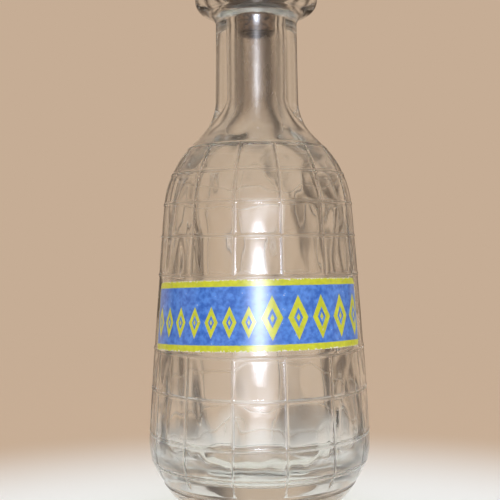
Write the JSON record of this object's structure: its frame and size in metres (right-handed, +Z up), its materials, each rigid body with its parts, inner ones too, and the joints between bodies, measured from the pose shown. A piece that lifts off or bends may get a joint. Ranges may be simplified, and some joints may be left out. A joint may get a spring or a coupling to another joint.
{
  "type": "syrup dispenser",
  "caption": "Quilted glass syrup carafe with a paper label band, a corked metal pourer in its mouth and a hinged spout lid with a thumb lever.",
  "frame": {"origin": "centre of the resting ring under the base", "axes": "+Z up along the bottle; -Y is the label's side; the spout points along -X and the lid's hinge is at +X"},
  "size_m": [0.0968, 0.0964, 0.2708],
  "materials": {
    "glass": "clear pressed soda-lime glass, polished",
    "label_paper": "coated label paper, glossy",
    "cork": "dark aged cork",
    "plated_metal": "nickel-plated brass, lightly worn",
    "gasket_rubber": "matt"
  },
  "bodies": {
    "bottle": {"bottle": "glass", "label": "label_paper"},
    "stopper": {"cork": "cork", "cork_washer": "plated_metal", "pour_tube": "plated_metal", "vent_tube": "plated_metal", "rim_gasket": "gasket_rubber", "drip_dish": "plated_metal", "stem": "plated_metal", "stem_knop": "plated_metal", "pouring_bowl": "plated_metal", "rim_bead": "plated_metal", "spout_beak": "plated_metal", "hinge_bracket": "plated_metal", "bracket_rivets": "plated_metal", "hinge_pin": "plated_metal"},
    "lid": {"lid_shell": "plated_metal", "lid_strap": "plated_metal", "strap_rivets": "plated_metal", "thumb_lever": "plated_metal", "lid_finial": "plated_metal", "finial_nut": "plated_metal"}
  },
  "joints": [
    {"name": "stopper_lift", "type": "slide", "parent": "bottle", "child": "stopper", "axis": [0, 0, 1], "range_m": [0, 0.03]},
    {"name": "lid_hinge", "type": "hinge", "parent": "stopper", "child": "lid", "pos_m": [0.022, 0, 0.2563], "axis": [0, 1, 0], "range_deg": [0, 95]}
  ]
}
